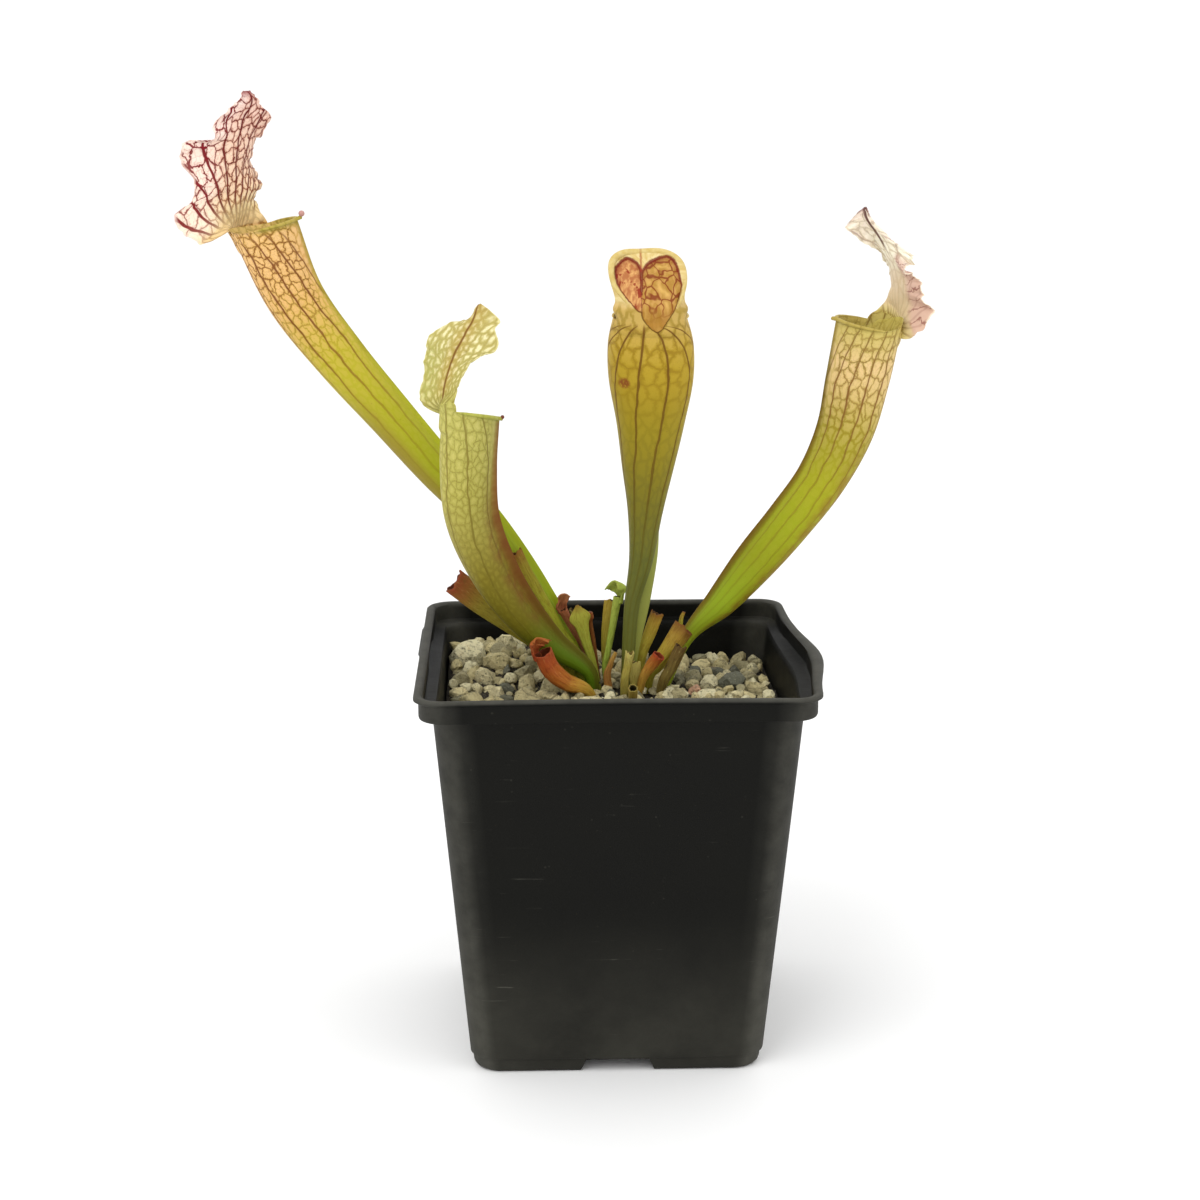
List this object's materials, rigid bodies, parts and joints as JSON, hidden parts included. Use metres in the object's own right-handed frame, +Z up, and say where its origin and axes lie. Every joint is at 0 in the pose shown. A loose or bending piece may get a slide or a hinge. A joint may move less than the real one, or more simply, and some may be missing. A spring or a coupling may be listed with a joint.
{
  "type": "potted pitcher plant",
  "caption": "Trumpet pitcher plant with hooded tube leaves, growing from a rhizome in a square pot of soil and gravel.",
  "frame": {"origin": "middle of the pot's standing pad, on the surface that the pot stands on", "axes": "+Z up, -Y out of the pot's front side, +X to the right as seen from the front"},
  "size_m": [0.1983, 0.1016, 0.2486],
  "materials": {
    "pot_plastic": "near-black thin moulded nursery plastic with a fine grain and light scuffs",
    "gravel": "dull angular pumice and grit in cream, tan, grey-green and slate",
    "soil": "moist dark peat mix",
    "rhizome": "knotted brown stem with thin roots",
    "fresh_pitcher": "satin living leaf, lime green below, peach and cream above, with a net of crimson and olive-brown veins",
    "young_leaf": "pale yellow-green leaf, satin",
    "red_leaf": "red-orange leaf, satin",
    "dried_leaf": "dull tan to brown dried leaf tissue"
  },
  "bodies": {
    "root": {"pot": "pot_plastic", "soil": "soil", "gravel": "gravel", "rhizome": "rhizome", "pitcher_tall_left": "fresh_pitcher", "pitcher_front_left": "fresh_pitcher", "pitcher_centre": "fresh_pitcher", "pitcher_right": "fresh_pitcher", "young_pitcher_red": "red_leaf", "dried_pitcher_hooded": "red_leaf", "knobbed_stalk": "red_leaf", "cut_tube_red": "red_leaf", "young_pitcher_green": "young_leaf", "pointed_leaf": "young_leaf", "cut_leaf_olive": "young_leaf", "stub_spiked": "young_leaf", "papery_scrap": "young_leaf", "cut_leaf_left": "dried_leaf", "dried_pitcher_grey": "dried_leaf", "stub_tan_left": "dried_leaf", "stub_tan_right": "dried_leaf", "stub_dark": "dried_leaf", "cut_tube_membrane": "dried_leaf", "dried_strips": "dried_leaf", "hollow_stub_loose": "dried_leaf"}
  },
  "joints": []
}
